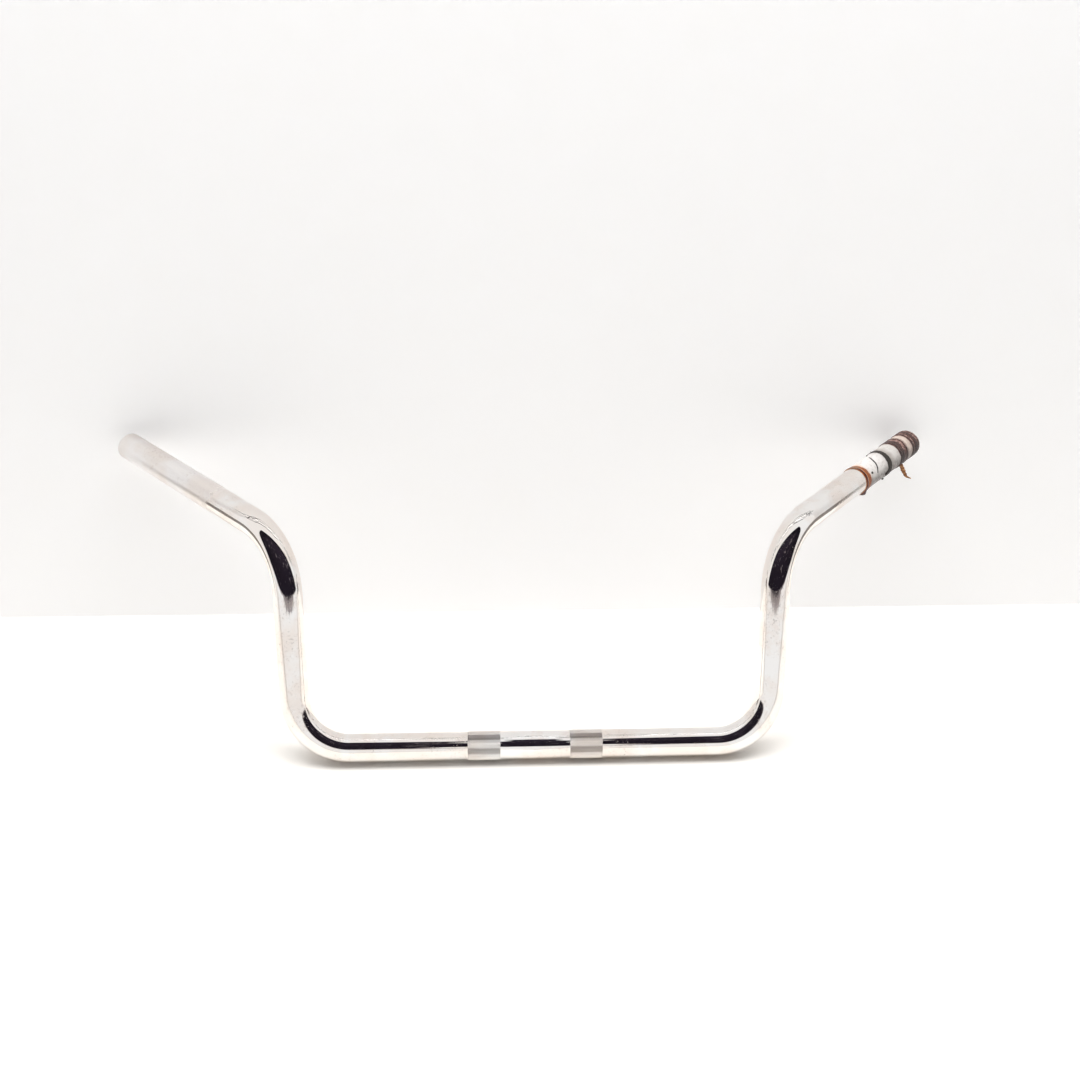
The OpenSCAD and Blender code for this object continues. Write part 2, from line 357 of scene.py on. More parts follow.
def roll_knurls(tube):
    """Presses the two diamond bands into the outer skin."""
    co = np.zeros(len(tube.data.vertices) * 3)
    tube.data.vertices.foreach_get("co", co)
    co = co.reshape(-1, 3)
    from_start = np.abs(co[:, 0]) - (KNURL_MID - KNURL_HALF)
    r = np.hypot(co[:, 1], co[:, 2])
    in_band = (from_start > -NEAR) & (from_start < 2 * KNURL_HALF + NEAR) & (
        np.abs(r - TUBE_R) < NEAR) & (np.abs(co[:, 0]) < HALF_SPAN)
    rise = knurl_height(from_start, np.arctan2(co[:, 2], co[:, 1]))
    # the crests are worn flat at the tube's own surface
    depth = np.clip(1 - rise * 1.35, 0, 1) * KNURL_DEPTH
    groove = np.where(in_band, 1 - rise, 0.0).astype(np.float32)
    tube.data.attributes.new("groove", "FLOAT", "POINT").data.foreach_set("value", groove)
    co[in_band, 1:] *= (1 - depth[in_band] / TUBE_R)[:, None]
    tube.data.vertices.foreach_set("co", co.ravel())
    for poly in tube.data.polygons:
        poly.use_smooth = not all(in_band[v] for v in poly.vertices)
    tube.data.update()


def chamfer_ends(tube):
    """Breaks the outer edge of both open ends, as a tube cutter leaves them."""
    active(tube)
    bpy.ops.object.mode_set(mode="EDIT")
    bpy.ops.mesh.select_mode(type="EDGE")
    bpy.ops.mesh.select_all(action="DESELECT")
    bpy.ops.object.mode_set(mode="OBJECT")
    for side in (1, -1):
        mid = Vector((GRIP_END.x * side, GRIP_END.y, GRIP_END.z))
        for edge in tube.data.edges:
            ends = [tube.data.vertices[i].co - mid for i in edge.vertices]
            edge.select = edge.select or all(abs(e.length - TUBE_R) < 2 * NEAR for e in ends)
    bpy.ops.object.mode_set(mode="EDIT")
    bpy.ops.mesh.bevel(offset=CHAMFER, offset_type="OFFSET", segments=2, affect="EDGES")
    bpy.ops.object.mode_set(mode="OBJECT")


# Materials.
def ramp(tree, factor, stops):
    """A colour ramp through (position, hex colour) stops."""
    made = add(tree, "ValToRGB", {"Fac": factor})
    points = made.color_ramp.elements
    for i, (position, colour) in enumerate(stops):
        point = points[i] if i < 2 else points.new(position)
        point.position, point.color = position, linear(colour)
    return made.outputs["Color"]


def fade(tree, value, low, high, start=0.0, end=1.0, smooth=False):
    """Goes from start to end while the value goes from low to high, and stays there."""
    return add(tree, "MapRange", {"Value": value, "From Min": low, "From Max": high,
                                  "To Min": start, "To Max": end},
               interpolation_type="SMOOTHSTEP" if smooth else "LINEAR").outputs[0]


def blend(tree, factor, a, b):
    """The colour a where the factor is 0, and b where it is 1."""
    return add(tree, "Mix", {"Factor": factor, "A": a, "B": b},
               data_type="RGBA").outputs["Result"]


def calc(tree, kind, a, b=0.0, c=0.0):
    """One step of arithmetic."""
    return add(tree, "Math", {0: a, 1: b, 2: c}, operation=kind).outputs[0]


def noise(tree, place, size_mm, detail=3, rough=0.5, stretch=None):
    """Noise whose blotches are about size_mm across, drawn out along the tube by stretch."""
    if stretch:
        place = add(tree, "VectorMath", {0: place, 1: (1 / stretch, 1, 1)},
                    operation="MULTIPLY").outputs[0]
    return add(tree, "TexNoise", {"Vector": place, "Scale": 1 / size_mm, "Detail": detail,
                                  "Roughness": rough}).outputs[0]


def relief(tree, shader, height, strength, distance):
    """Fine relief in the shading only."""
    made = add(tree, "Bump", {"Height": height, "Strength": strength, "Distance": distance})
    tree.links.new(made.outputs[0], shader.inputs["Normal"])


def chrome():
    """Polished chromium plate over steel, decades old. It mirrors the room, with a faint brown
    haze, pinhead pits, and a satin grip end where the throttle sleeve turned."""
    mat, tree, shader = start_material("chromium_plate_polished_aged")
    place = add(tree, "Attribute", attribute_name="straight").outputs["Vector"]
    part = add(tree, "SeparateXYZ", {"Vector": place}).outputs
    along = part["X"]
    # satin: 145 mm in from the throttle end, up to a ragged wear line
    ragged = noise(tree, place, 9, 4)
    shifted = calc(tree, "MULTIPLY_ADD", ragged, 26.0, along)
    satin = fade(tree, shifted, -440.0, -430.0, 1.0, 0.0)
    # drawn-out rub marks of the sleeve
    rub = noise(tree, place, 0.9, 5, 0.6, stretch=14)
    cloud = noise(tree, place, 24, 4, 0.55)
    speck = noise(tree, place, 2.2, 5, 0.65)
    haze = fade(tree, cloud, 0.46, 0.66, 0.0, 1.0)
    stain = calc(tree, "MULTIPLY", fade(tree, speck, 0.55, 0.66), fade(tree, cloud, 0.42, 0.6))
    # pits through the plate, under a millimetre, thickest on the clutch side's lower bend
    cells = add(tree, "TexVoronoi", {"Vector": place, "Scale": 0.42, "Randomness": 1.0},
                feature="F1")
    near_bend = calc(tree, "SUBTRACT", 1.0,
                     calc(tree, "MINIMUM", 1.0,
                          calc(tree, "ABSOLUTE", calc(tree, "MULTIPLY_ADD", along, 0.018, -3.6))))
    pit_size = calc(tree, "MULTIPLY_ADD", near_bend, 0.10, 0.02)
    pit_where = fade(tree, cells.outputs["Color"], 0.62, 0.66)
    pit = calc(tree, "MULTIPLY", calc(tree, "LESS_THAN", cells.outputs["Distance"], pit_size),
               pit_where)
    scratch = fade(tree, noise(tree, place, 0.35, 2, 0.5, stretch=40), 0.66, 0.72)
    rough = fade(tree, satin, 0.0, 1.0, 0.035, 0.25)
    rough = calc(tree, "MULTIPLY_ADD", haze, 0.05, rough)
    rough = calc(tree, "MULTIPLY_ADD", stain, 0.22, rough)
    rough = calc(tree, "MULTIPLY_ADD", calc(tree, "MULTIPLY", rub, satin), 0.16, rough)
    # dulled a little beside the glue, where it was wiped
    wiped = calc(tree, "MULTIPLY", fade(tree, along, 425.0, 465.0, smooth=True), rub)
    rough = calc(tree, "MULTIPLY_ADD", wiped, 0.3, rough)
    rough = calc(tree, "MULTIPLY_ADD", pit, 0.5, rough)
    rough = calc(tree, "MULTIPLY_ADD", scratch, 0.08, rough)
    tree.links.new(rough, shader.inputs["Roughness"])
    shader.inputs["Metallic"].default_value = 1.0
    tint = blend(tree, haze, linear("F0EEEC"), linear("EAE2DC"))
    tint = blend(tree, satin, tint, blend(tree, rub, linear("EEEAE8"), linear("FBF9F8")))
    warm = fade(tree, noise(tree, place, 40, 3, 0.5), 0.42, 0.6, 0.0, 0.6)
    tint = blend(tree, warm, tint, linear("ECE2DA"))
    tint = blend(tree, calc(tree, "MULTIPLY", stain, 0.22), tint, linear("A08C7C"))
    tint = blend(tree, calc(tree, "MULTIPLY", pit, 0.85), tint, linear("4A3A30"))
    # the knurl's grooves darkened nearly to black, unevenly
    groove = add(tree, "Attribute", attribute_name="groove").outputs["Fac"]
    groove_darkening = calc(tree, "MULTIPLY", fade(tree, groove, 0.6, 1.0, 0.0, 0.75),
                fade(tree, noise(tree, place, 3.0, 3), 0.3, 0.6, 0.55, 1.0))
    tint = blend(tree, groove_darkening, tint, linear("1C1816"))
    # painted dark reflection: the satin is darkened along the back of the throttle grip, fading out
    # towards its top and weaker underneath, patchy with the rub marks
    side = calc(tree, "MULTIPLY", fade(tree, part["Z"], 8.5, 5.0, smooth=True),
                fade(tree, part["Z"], -9.0, -2.0, 0.25, 1.0, True))
    side = calc(tree, "MULTIPLY", calc(tree, "MULTIPLY", side, satin),
                fade(tree, along, -590.0, -490.0, 0.3, 1.0))
    side = calc(tree, "MULTIPLY", side, fade(tree, rub, 0.3, 0.65, 0.7, 1.0))
    side = calc(tree, "MULTIPLY", side, fade(tree, part["Y"], -3.0, 4.0, smooth=True))
    tint = blend(tree, side, tint, linear("3A3432"))
    tree.links.new(tint, shader.inputs["Base Color"])
    # the plate ripples slightly where the bender drew it out
    ripple = noise(tree, place, 13, 2, 0.4, stretch=2.5)
    height = calc(tree, "MULTIPLY_ADD", ripple, 0.25,
                  calc(tree, "MULTIPLY", rub, calc(tree, "MULTIPLY", satin, 0.02)))
    height = calc(tree, "MULTIPLY_ADD", pit, -0.15, height)
    relief(tree, shader, height, 0.25, 0.001)
    return mat


def glue_parts(name):
    """A new material, with the place on the grip that its noise follows."""
    mat, tree, shader = start_material(name)
    place = add(tree, "Attribute", attribute_name="residue").outputs["Vector"]
    return mat, tree, shader, place


def crust_of(tree):
    """The thickness of the glue in mm, as its mesh carries it."""
    return add(tree, "Attribute", attribute_name="crust").outputs["Fac"]


def film_glue():
    """The whitish film that contact cement leaves: chalky, stained by the rubber that lay on it."""
    mat, tree, shader, place = glue_parts("contact_cement_film_dried")
    part = add(tree, "SeparateXYZ", {"Vector": place}).outputs
    wander = noise(tree, place, 6, 4, 0.6)
    s = calc(tree, "MULTIPLY_ADD", calc(tree, "SUBTRACT", wander, 0.5), 7.0, part["X"])
    bands = ramp(tree, calc(tree, "DIVIDE", s, 110.0), [
        (0.0, "4E3E3C"), (1.0, "E2A070"), (0.03, "A89490"), (0.06, "8C6A62"), (0.09, "CDB4AA"),
        (0.13, "6C4A44"), (0.155, "C4B0A5"), (0.20, "CDBFB4"), (0.225, "8E6F66"),
        (0.27, "BFA79E"), (0.35, "8A6860"), (0.375, "C4BFBA"), (0.45, "CBC7C3"),
        (0.50, "ABA49E"), (0.535, "9A938E"), (0.60, "CCC7C4"), (0.66, "DAD6D3"),
        (0.86, "DBD6D3"), (0.895, "D8BFAC"), (0.93, "E2A070")])
    smear = noise(tree, place, 3.5, 5, 0.65)
    grime = fade(tree, smear, 0.52, 0.68)
    col = blend(tree, calc(tree, "MULTIPLY", grime, 0.35), bands, linear("8A7B74"))
    # painted shade: the film darkens towards its underside, patchy with the smear
    under = calc(tree, "MULTIPLY", fade(tree, part["Z"], 9.5, -1.0, 0.0, 0.85, True),
                 fade(tree, smear, 0.35, 0.6, 0.7, 1.0))
    col = blend(tree, under, col, linear("6A6462"))
    fleck = fade(tree, noise(tree, place, 0.9, 3, 0.6), 0.66, 0.72)
    col = blend(tree, calc(tree, "MULTIPLY", fleck, 0.5), col, linear("6A5A54"))
    tree.links.new(col, shader.inputs["Base Color"])
    tree.links.new(fade(tree, smear, 0.3, 0.7, 0.34, 0.62), shader.inputs["Roughness"])
    relief(tree, shader, calc(tree, "ADD", smear, noise(tree, place, 0.7, 4)), 0.35, 0.0002)
    return mat


def brown_glue():
    """Ridges of old brown cement: pink and thin in the hollows, nearly black on the ridges."""
    mat, tree, shader, place = glue_parts("contact_cement_brown_ridged")
    grain = noise(tree, place, 1.1, 5, 0.65)
    patch = noise(tree, place, 5, 3, 0.5)
    part = add(tree, "SeparateXYZ", {"Vector": place}).outputs
    # painted shade: the glue darkens towards its underside, both through the ramp and by a dark
    # blend
    under = fade(tree, part["Z"], 10.5, 3.0, 0.0, 1.0, True)
    h = calc(tree, "MULTIPLY_ADD", calc(tree, "SUBTRACT", grain, 0.5), 0.5,
             crust_of(tree))
    h = calc(tree, "MULTIPLY_ADD", calc(tree, "SUBTRACT", patch, 0.5), 0.3, h)
    h = calc(tree, "MULTIPLY_ADD", under, 0.14, h)
    col = ramp(tree, h, [(0.0, "B09086"), (0.7, "20130F"), (0.05, "9C7C72"), (0.12, "6E4C46"),
                         (0.25, "523630"), (0.45, "3A2522")])
    col = blend(tree, calc(tree, "MULTIPLY", under, 0.6), col, linear("2A1C1B"))
    tree.links.new(col, shader.inputs["Base Color"])
    tree.links.new(fade(tree, grain, 0.3, 0.7, 0.28, 0.6), shader.inputs["Roughness"])
    relief(tree, shader, grain, 0.6, 0.0003)
    return mat


def perished_rubber():
    """Black grip rubber gone hard and dusty."""
    mat, tree, shader, place = glue_parts("natural_rubber_perished")
    grain = noise(tree, place, 0.8, 5, 0.7)
    col = ramp(tree, grain, [(0.35, "201E1C"), (0.75, "6A625C"), (0.55, "38332F")])
    tree.links.new(col, shader.inputs["Base Color"])
    tree.links.new(fade(tree, grain, 0.3, 0.7, 0.6, 0.9), shader.inputs["Roughness"])
    relief(tree, shader, grain, 0.7, 0.0003)
    return mat


def tan_skin():
    """A dried skin of glue torn off the bar: tan, with paler stretched patches and dark edges."""
    mat, tree, shader, place = glue_parts("contact_cement_skin_torn")
    grain = noise(tree, place, 2.2, 4, 0.6)
    col = ramp(tree, grain, [(0.3, "4A2C20"), (0.75, "DDBB90"), (0.45, "8A5A3A"),
                             (0.58, "B5824F")])
    tree.links.new(col, shader.inputs["Base Color"])
    shader.inputs["Roughness"].default_value = 0.55
    relief(tree, shader, grain, 0.5, 0.0003)
    return mat


def amber_glue():
    """Glue squeezed from under the grip's flange, hard and resinous: peach where thin, dark
    red-brown where thick."""
    mat, tree, shader, place = glue_parts("contact_cement_amber_hard")
    grain = noise(tree, place, 1.4, 4, 0.6)
    h = calc(tree, "MULTIPLY_ADD", calc(tree, "SUBTRACT", grain, 0.5), 0.5,
             crust_of(tree))
    col = ramp(tree, h, [(0.0, "D8AE8C"), (0.9, "3A140A"), (0.12, "C4854F"), (0.3, "A25A28"),
                         (0.5, "763413"), (0.7, "521F0D")])
    part = add(tree, "SeparateXYZ", {"Vector": place}).outputs
    back = fade(tree, part["Y"], 5.0, -3.0, 0.0, 0.7, True)
    col = blend(tree, back, col, linear("84644C"))
    tree.links.new(col, shader.inputs["Base Color"])
    tree.links.new(fade(tree, grain, 0.3, 0.7, 0.22, 0.5), shader.inputs["Roughness"])
    relief(tree, shader, grain, 0.5, 0.0003)
    return mat


# What is left of the grip.
def wobble(phi, seed):
    """A slow uneven wave round the tube, from -1 to 1."""
    return fractal((math.cos(phi) * 1.6, math.sin(phi) * 1.6, seed), 3)


def fractal(point, octaves=4):
    """Uneven waves in space, mostly from -1 to 1."""
    return noise_tools.fractal(Vector(point), 0.9, 2.1, octaves,
                               noise_basis="PERLIN_ORIGINAL") * 1.3


def store(obj, name, kind, values):
    """Writes one value for each point of the mesh, for its material to read."""
    layer = obj.data.attributes.new(name, kind, "POINT")
    layer.data.foreach_set("vector" if kind == "FLOAT_VECTOR" else "value",
                           np.array(values, np.float32).ravel())


def crust_sleeve(name, s0, s1, rows, around, seat, height, edges=None):
    """A closed skin round the grip from s0 to s1 mm, with its thickness from height(s, phi) and
    its two rims moved along by edges(phi)."""
    deselect()
    bpy.ops.mesh.primitive_circle_add(vertices=around, radius=seat / 1000, location=(0, 0, 0))
    obj = bpy.context.object
    obj.name = name
    bpy.ops.object.mode_set(mode="EDIT")
    bpy.ops.mesh.select_mode(type="EDGE")
    bpy.ops.mesh.select_all(action="SELECT")
    for _ in range(rows):
        bpy.ops.mesh.extrude_region_move(
            TRANSFORM_OT_translate={"value": (0, 0, (s1 - s0) / rows / 1000)})
    bpy.ops.mesh.select_all(action="DESELECT")
    bpy.ops.mesh.select_non_manifold()
    bpy.ops.mesh.bridge_edge_loops()
    bpy.ops.object.mode_set(mode="OBJECT")
    places, heights = [], []
    for v in obj.data.vertices:
        f = v.co.z * 1000 / (s1 - s0)
        phi = math.atan2(v.co.y, v.co.x)
        low, high = edges(phi) if edges else (0.0, 0.0)
        s = s0 + low + f * (s1 + high - s0 - low)
        rim = f < 1e-4 or f > 1 - 1e-4
        h = 0.0 if rim else max(0.02, height(s, phi))
        r = seat + h
        v.co = on_grip(s, r, phi)
        places.append((s, r * math.sin(phi), r * math.cos(phi)))
        heights.append(h)
    store(obj, "residue", "FLOAT_VECTOR", places)
    store(obj, "crust", "FLOAT", heights)
    active(obj)
    bpy.ops.object.mode_set(mode="EDIT")
    bpy.ops.mesh.select_all(action="SELECT")
    bpy.ops.mesh.normals_make_consistent(inside=False)
    bpy.ops.object.mode_set(mode="OBJECT")
    obj.data.shade_smooth()
    return obj


def ridged(points, ring_t, seed, fine=0.16):
    """Height of a glue ring: ridges at (s, height), uneven round the tube, with a fine crust."""
    xs, ys = zip(*points)

    def height(s, phi):
        s = s - 0.9 * wobble(phi, seed)
        h = float(np.interp(s, xs, ys)) * (0.85 + 0.4 * wobble(phi, seed + 3))
        c = (s * 0.7, 13 * math.cos(phi) * 0.7, 13 * math.sin(phi) * 0.7 + seed)
        return ring_t * h + ring_t * fine * 2 * fractal(c)
    return height


def lump(phi, centre, width):
    """A single swelling round the tube, 1 at its centre; centre and width are in degrees."""
    d = (math.degrees(phi) - centre + 540) % 360 - 180
    return math.exp(-(d / width) ** 2)


def outer_ring():
    """Brown ridges nearest the open end."""
    return crust_sleeve(
        "outer_glue_crust", 2.6, 16.2, 44, 200, ON_FILM,
        ridged([(2.6, 0.45), (3.8, 0.65), (4.4, 0.15), (5.4, 0.15), (6, 0.6), (8, 0.85),
                (10.8, 0.6), (11.4, 0.15), (12.4, 0.15), (13, 0.65), (14.5, 0.95), (16.2, 0.45)],
               0.62, 11),
        lambda phi: (0.7 * wobble(phi, 5), 0.9 * wobble(phi, 8)))


def inner_ring():
    """Brown ridges further in."""
    return crust_sleeve(
        "inner_glue_crust", 25.0, 40.2, 48, 200, ON_FILM,
        ridged([(25, 0.4), (26.2, 0.9), (27.6, 0.45), (28.4, 0.12), (30.8, 0.14), (31.6, 0.5),
                (33.6, 0.8), (36.2, 0.7), (38.6, 1.0), (40.2, 0.45)], 0.62, 31),
        lambda phi: (0.7 * wobble(phi, 15), 0.9 * wobble(phi, 18)))


def film():
    """Thin film under everything, from the tube's end to the collar."""
    def height(s, phi):
        c = (s * 0.35, 4.4 * math.cos(phi), 4.4 * math.sin(phi))
        return FILM * min(1.0, 0.2 + (s - 1.6) * 1.5) + 0.035 * fractal(c, 5)
    return crust_sleeve("glue_film_crackled", 1.6, 101.0, 130, 160, SEAT - 0.005, height,
                        lambda phi: (0.5 * wobble(phi, 2), 0.0))


def rubber_band():
    """Thick torn band of rubber, lumpy at the front."""
    def height(s, phi):
        c = (s, 13 * math.cos(phi), 13 * math.sin(phi))
        return 0.5 * (0.75 + 0.35 * wobble(phi, 41) + 0.7 * lump(phi, 100, 10)) + 0.12 * fractal(c)

    def edges(phi):
        wide = 1.1 * lump(phi, 65, 40)
        return (-wide + 0.6 * wobble(phi, 44) + 0.25 * wobble(phi * 4, 46),
                wide + 3.4 * lump(phi, 100, 9) + 0.6 * wobble(phi, 48) + 0.3 * wobble(phi * 5, 49))
    return crust_sleeve("rubber_band_torn", 58.6, 63.8, 14, 240, ON_FILM, height,
                        edges)


def collar():
    """Amber bead where the grip's flange ended, with a thin fringe on the film and a torn flap."""
    def shape(phi):
        return 1.3 * (1 - math.cos(phi - math.radians(25))), lump(phi, 132, 13)

    def height(s, phi):
        drift, torn = shape(phi)
        t = (s - 102.4) / (3.4 + drift)
        bead = max(0.0, 1 - ((t - 0.45) / 0.62) ** 2) if t > -0.1 else 0.0
        fringe = 0.14 if s < 101.4 else 0.05
        c = (s, 13 * math.cos(phi), 13 * math.sin(phi) + 60)
        lift = FILM + 0.02 if s < FILM_EDGE else 0.0
        return lift + fringe + bead * (0.85 + 0.2 * wobble(phi, 63) + 1.6 * torn) + 0.5 * torn \
            + 0.06 * fractal(c)

    def edges(phi):
        drift, torn = shape(phi)
        return (-2.0 - 2.6 * lump(phi, 65, 50) + 0.6 * wobble(phi, 52) + 0.3 * wobble(phi * 4, 53),
                4.9 + drift + 1.2 * torn + 0.6 * wobble(phi, 55) + 0.25 * wobble(phi * 5, 56))
    return crust_sleeve("amber_glue_collar", COLLAR_START, 101.21, 36, 220, SEAT + 0.01, height,
                        edges)


def rag(name, path, width, thick, facing, twist, rings=40, seed=1):
    """A torn strip along path(t), t from 0 to 1: width(t) and thick are in mm, facing(t) is where
    its flat side looks, and twist(t) turns it from there."""
    deselect()
    bpy.ops.mesh.primitive_circle_add(vertices=12, radius=1.0, fill_type="NGON",
                                      location=(0, 0, 0))
    obj = bpy.context.object
    obj.name = name
    bpy.ops.object.mode_set(mode="EDIT")
    bpy.ops.mesh.select_all(action="SELECT")
    for _ in range(rings):
        bpy.ops.mesh.extrude_region_move(TRANSFORM_OT_translate={"value": (0, 0, 1.0)})
    bpy.ops.mesh.select_all(action="SELECT")
    bpy.ops.mesh.normals_make_consistent(inside=False)
    bpy.ops.object.mode_set(mode="OBJECT")
    places, heights = [], []
    for v in obj.data.vertices:
        t = v.co.z / rings
        here, ahead = Vector(path(t)), Vector(path(min(1.0, t + 0.02)))
        behind = Vector(path(max(0.0, t - 0.02)))
        run = (ahead - behind).normalized()
        side = run.cross(facing(t)).normalized()
        face = side.cross(run).normalized()
        a = twist(t)
        side, face = (side * math.cos(a) + face * math.sin(a),
                      face * math.cos(a) - side * math.sin(a))
        w = width(t) * (1 + 0.25 * fractal((t * 9, v.co.x, seed), 3))
        k = 0.0005 * (v.co.x * w)
        j = 0.0005 * (v.co.y * thick * (1 + 0.4 * fractal((t * 14, v.co.y, seed + 5), 3)))
        v.co = here + side * k + face * j
        places.append(grip_place(v.co))
        heights.append(t)
    store(obj, "residue", "FLOAT_VECTOR", places)
    store(obj, "crust", "FLOAT", heights)
    obj.data.shade_smooth()
    return obj


def torn_strip():
    """The strip of skin that hangs from the front of the inner ring and hooks at its end."""
    start = on_grip(37, 13.5, math.radians(112))

    def width(t):
        pinched = 1 - 0.65 * max(0.0, t - 0.75) / 0.25
        return 3.7 * (0.72 + 0.28 * math.sin(3.4 * t + 0.3)) * pinched + 0.2

    def path(t):
        hook = max(0.0, t - 0.82) / 0.18
        return (start - GRIP_UP * (0.85 * 0.017 * t) * (1 - 0.06 * hook)
                + GRIP_FRONT * (0.48 * 0.017 * t ** 1.3 + 0.0026 * hook ** 1.4)
                + GRIP_DIR * (0.002 * t + 0.002 * hook))
    return rag("torn_glue_strip", path, width, 0.7, lambda t: GRIP_FRONT - GRIP_DIR,
               lambda t: math.radians(35 * t - 10))


def sliver():
    """A curved sliver of rubber on the film."""
    def round_tube(t):
        return math.radians(-12 + 80 * t)

    def path(t):
        return on_grip(76.6 + 8 * t + 0.4 * math.sin(7 * t), SEAT + FILM + 0.12, round_tube(t))

    def width(t):
        return 1.9 * (0.3 + 0.65 * math.sin(math.pi * min(1, t * 0.92 + 0.05)))
    return rag("rubber_sliver_torn", path, width, 0.5,
               lambda t: on_grip(0, 1, round_tube(t)) - GRIP_END, lambda t: 0.0, rings=60, seed=9)


def crumb(name, s, phi, lift, size, seed):
    """A torn crumb stuck to the film, s mm in and phi degrees round: a ball roughened and
    flattened onto the tube, with its size in mm along it, round it and outwards."""
    deselect()
    bpy.ops.mesh.primitive_ico_sphere_add(subdivisions=4, radius=1.0, location=(0, 0, 0))
    obj = bpy.context.object
    obj.name = name
    centre = on_grip(s, SEAT + FILM + lift, math.radians(phi))
    out = (centre - on_grip(s, 0, 0)).normalized()
    around = out.cross(GRIP_DIR)
    places = []
    for v in obj.data.vertices:
        k = 1 + 0.45 * fractal(tuple(v.co * 1.4 + Vector((seed, 0, 0))), 4)
        p = v.co * k
        v.co = centre + (GRIP_DIR * p.x * size[0] + around * p.y * size[1]
                         + out * p.z * size[2]) / 1000
        places.append(grip_place(v.co))
    store(obj, "residue", "FLOAT_VECTOR", places)
    store(obj, "crust", "FLOAT", [0.5] * len(places))
    obj.data.shade_smooth()
    return obj


# The room.
def paper(name, colour):
    """Matt paper with a faint mottle."""
    mat, tree, shader = start_material(name)
    grain = add(tree, "TexNoise", {"Vector": add(tree, "TexCoord").outputs["Object"],
                                   "Scale": 60.0, "Detail": 4}).outputs[0]
    shade = fade(tree, grain, 0.3, 0.7, 0.0, 0.25)
    tint = blend(tree, shade, linear(colour), linear("F4F2EF"))
    tree.links.new(tint, shader.inputs["Base Color"])
    shader.inputs["Roughness"].default_value = 0.9
    shader.inputs["Specular IOR Level"].default_value = 0.1
    return mat, tree, shader


def sheet_of(name, corners):
    """A flat stage piece through four corners."""
    deselect()
    bpy.ops.mesh.primitive_plane_add(size=1, location=(0, 0, 0))
    obj = bpy.context.object
    obj.name = name
    for v, corner in zip(obj.data.vertices, (corners[0], corners[1], corners[3], corners[2])):
        v.co = corner
    return obj


def dark_panel(name, points, faces, shade):
    """Something dark in the room, which shows only where the chrome mirrors it."""
    deselect()
    bpy.ops.mesh.primitive_plane_add(size=1, location=(0, 0, 0))
    card = bpy.context.object
    card.name = name
    card.data.clear_geometry()
    card.data.from_pydata(points, [], faces)
    card.visible_camera = False
    mat, tree, shader = start_material(name)
    grain = add(tree, "TexNoise", {"Vector": add(tree, "TexCoord").outputs["Object"],
                                   "Scale": 5.0, "Detail": 5, "Distortion": 1.5}).outputs[0]
    streak = fade(tree, grain, 0.62, 0.75)
    tint = blend(tree, streak, linear(shade), linear("8A8486"))
    tree.links.new(tint, shader.inputs["Base Color"])
    shader.inputs["Roughness"].default_value = 1.0
    shader.inputs["Specular IOR Level"].default_value = 0.0
    dress(card, mat)
    return card


def card_grid(name, across, upwards, place, shade):
    """A card of small squares, with place(i, j) giving its corner points from 0 to 1 each way."""
    points, faces = [], []
    for i in range(upwards + 1):
        for j in range(across + 1):
            points.append(place(j / across, i / upwards))
    for i in range(upwards):
        for j in range(across):
            k = i * (across + 1) + j
            faces.append((k, k + 1, k + across + 2, k + across + 1))
    return dark_panel(name, points, faces, shade)


def hem(x, seed):
    """A slow wave along a hanging edge."""
    return fractal((x * 3.1, seed, 0.3), 4)


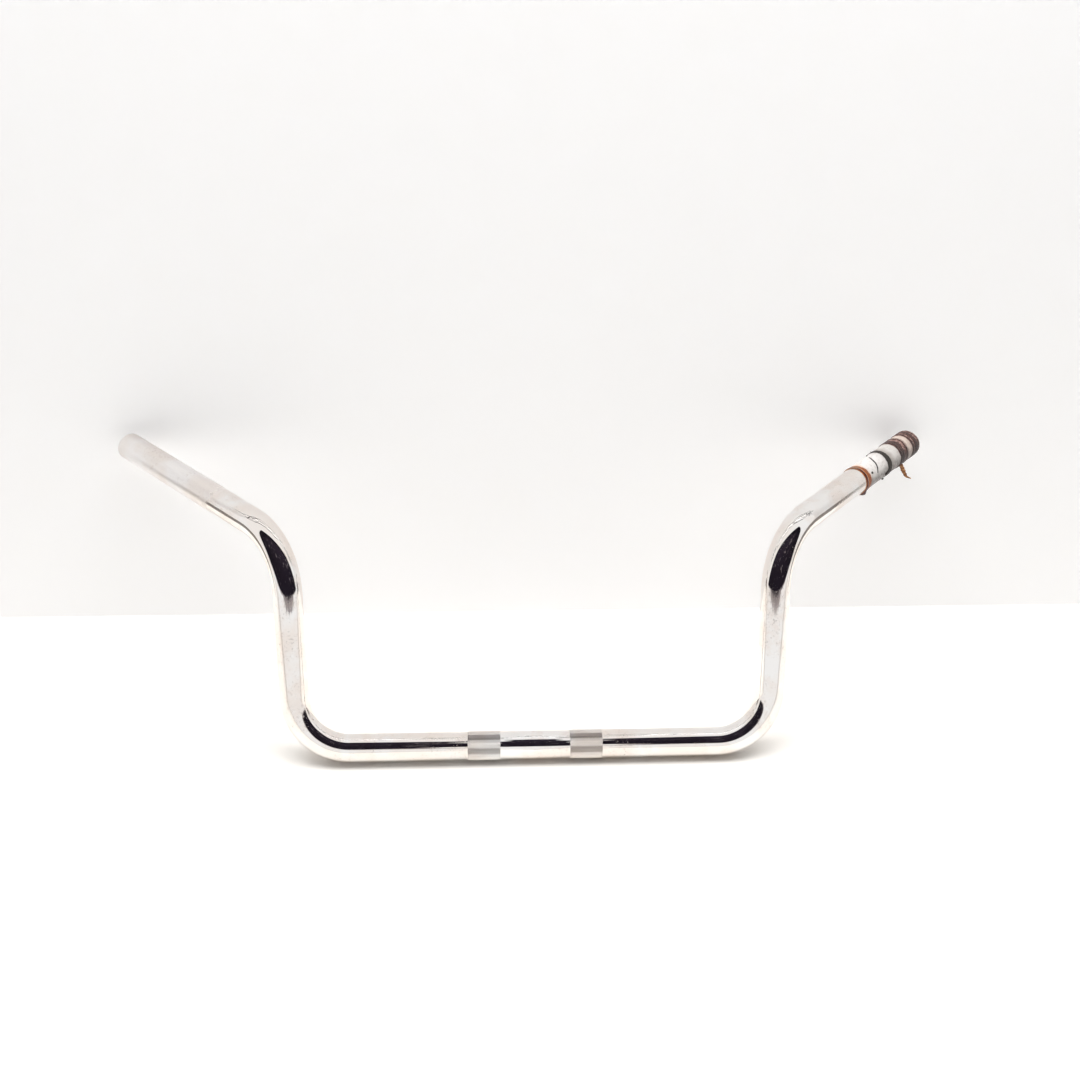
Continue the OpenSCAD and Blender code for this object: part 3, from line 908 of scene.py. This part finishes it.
def room():
    """Pale floor meeting a white backdrop, and the dark shapes that the chrome mirrors."""
    floor = sheet_of("floor", [(-STAGE, -STAGE, FLOOR_Z), (STAGE, -STAGE, FLOOR_Z),
                               (STAGE, STAGE, FLOOR_Z), (-STAGE, STAGE, FLOOR_Z)])
    dress(floor, paper("floor_paper", "FBF8F3")[0])
    wall_head = WALL_FOOT + STAGE * WALL_LEAN
    back = sheet_of("backdrop", [(-STAGE, WALL_FOOT, FLOOR_Z), (STAGE, WALL_FOOT, FLOOR_Z),
                                 (STAGE, wall_head, STAGE), (-STAGE, wall_head, STAGE)])
    mat, tree, shader = paper("backdrop_paper", "FAFAFB")
    # the tent's wall is thin cloth lit from outside as well
    shader.inputs["Emission Color"].default_value = linear("FAFAFB")
    shader.inputs["Emission Strength"].default_value = 0.16
    # clear from behind, so that the bar can be looked at from the back as well
    out = [n for n in tree.nodes if n.type == "OUTPUT_MATERIAL"][0]
    clear = add(tree, "BsdfTransparent")
    side = add(tree, "NewGeometry").outputs["Backfacing"]
    mix = add(tree, "MixShader", {0: side, 1: shader.outputs[0], 2: clear.outputs[0]})
    tree.links.new(mix.outputs[0], out.inputs[0])
    dress(back, mat)
    # the dark open front of the tent, which hangs from above to a little over the floor
    front = card_grid("tent_mouth", 120, 12, lambda u, v: (
        MOUTH_LEFT + MOUTH_WIDTH * u, -0.49,
        0.25 + 0.004 * hem(14 * u, 1) * (1 - v) + 2.9 * v), "1C1820")
    low_fade = card_grid("tent_mouth_hem", 120, 2, lambda u, v: (
        MOUTH_LEFT + MOUTH_WIDTH * u, -0.492,
        0.229 + 0.008 * hem(14 * u, 4) * (1 - v) + 0.04 * v), "8C8688")
    # seams of its roof and a box beside each grip
    seams = [card_grid("roof_seam_%d" % k, 90, 1, lambda u, v: (
        -0.75 + 1.5 * u, y + 0.03 * hem(3 * u, 7 + k) + wide * v, 0.56), "2A2628")
        for k, (y, wide) in enumerate(((0.12, 0.012), (0.15, 0.010), (0.18, 0.016),
                                       (0.215, 0.010)))]
    sides = [card_grid("box_beside_%s_grip" % side, 1, 1, lambda u, v: (
        x, 0.05 + (WALL_Y - 0.06) * u, FLOOR_Z + 0.001 + high * v), "8A8684")
        for side, x, high in (("throttle", -0.80, 0.15), ("clutch", 0.80, 0.17))]
    # these show only in what mirrors them: they cast no shadow and tint no matt surface
    for card in [front, low_fade] + seams + sides:
        card.visible_diffuse = card.visible_shadow = False
    # a black flag keeps light off the front of the floor, so that the bar sits in its own shadow
    flag = card_grid("black_flag", 1, 12, lambda u, v: (
        -3 + 6 * u, -2.4 * math.cos(math.radians(3 + 66 * v)),
        2.4 * math.sin(math.radians(3 + 66 * v))), "1A1719")
    flag.visible_glossy = False


def light():
    """White light from all round, and a long softbox overhead."""
    scene = bpy.context.scene
    world = bpy.data.worlds.new("studio")
    scene.world = world
    world.use_nodes = True
    background = world.node_tree.nodes["Background"]
    background.inputs[0].default_value = (1.0, 1.0, 1.0, 1)
    background.inputs[1].default_value = WORLD_STRENGTH
    deselect()
    bpy.ops.object.light_add(type="AREA", location=SOFTBOX_PLACE)
    top = bpy.context.object
    top.name = "overhead_softbox"
    top.data.shape = "RECTANGLE"
    top.data.size, top.data.size_y = SOFTBOX_SIZE
    top.data.energy = SOFTBOX_WATTS
    top.visible_glossy = False
    scene.view_settings.view_transform = "Standard"


# Making it.
look()
tube = bent_tube()
face_outwards(tube)
active(tube)
bpy.ops.object.modifier_apply(modifier="wall")
roll_knurls(tube)
chamfer_ends(tube)
straight_coordinates(tube)
dress(tube, chrome())
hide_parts("handlebar")
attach(tube, "root")

rubber_mat, brown_mat = perished_rubber(), brown_glue()
pieces = [
    (film(), film_glue(), "glue_film", "glue_film"),
    (outer_ring(), brown_mat, "outer_glue_ring", "brown_glue"),
    (inner_ring(), brown_mat, "inner_glue_ring", "brown_glue"),
    (torn_strip(), tan_skin(), "inner_glue_ring", "brown_glue"),
    (rubber_band(), rubber_mat, "rubber_ring", "rubber"),
    (sliver(), rubber_mat, "rubber_sliver", "rubber"),
    (collar(), amber_glue(), "glue_collar", "amber_glue")]
for scrap in (
        ("rubber_crumb_dot", 93, 53, 0.1, (1.3, 1.2, 0.45), 2),
        ("rubber_crumb_low", 68.5, 99, 0.3, (1.5, 1.3, 0.8), 5),
        ("rubber_crumb_under", 69.5, 128, 0.5, (0.9, 1.0, 0.9), 8),
        ("rubber_burr_top", 64.0, -33, 0.6, (0.5, 0.5, 1.1), 11),
        ("rubber_burr_back", 72.0, -34, 0.4, (0.8, 0.6, 0.7), 14)):
    pieces.append((crumb(*scrap), rubber_mat, None, "rubber"))
for piece, mat, stands_for, slot in pieces:
    dress(piece, mat)
    if stands_for:
        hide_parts(stands_for)
    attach(piece, "root")

room()
light()
